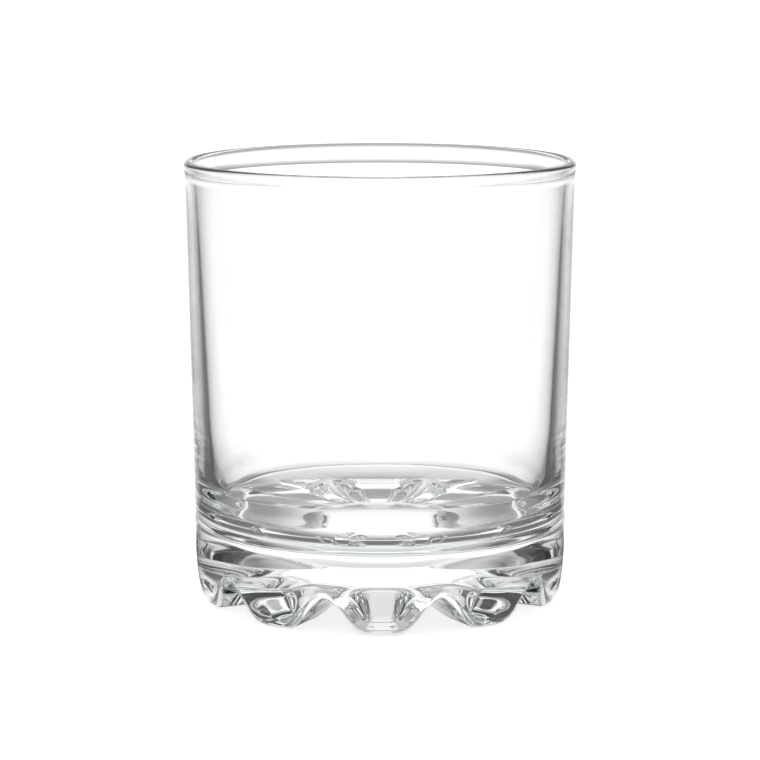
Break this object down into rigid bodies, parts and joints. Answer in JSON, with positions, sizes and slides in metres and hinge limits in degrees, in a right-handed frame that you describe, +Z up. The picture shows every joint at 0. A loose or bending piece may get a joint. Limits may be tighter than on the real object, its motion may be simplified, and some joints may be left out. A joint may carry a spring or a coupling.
{
  "type": "whiskey tumbler",
  "caption": "Clear pressed-glass whiskey tumbler with a slightly tapered wall, a beaded rim, a heavy solid base and a scalloped ring of rounded feet.",
  "frame": {"origin": "centre of the standing plane, on the axis of the glass", "axes": "+Z up along the axis of the glass, -Y toward the viewer with one foot centred on it, +X to the viewer's right"},
  "size_m": [0.08, 0.08, 0.0905],
  "materials": {
    "clear_glass": "polished"
  },
  "bodies": {
    "root": {"tumbler": "clear_glass"}
  },
  "joints": []
}
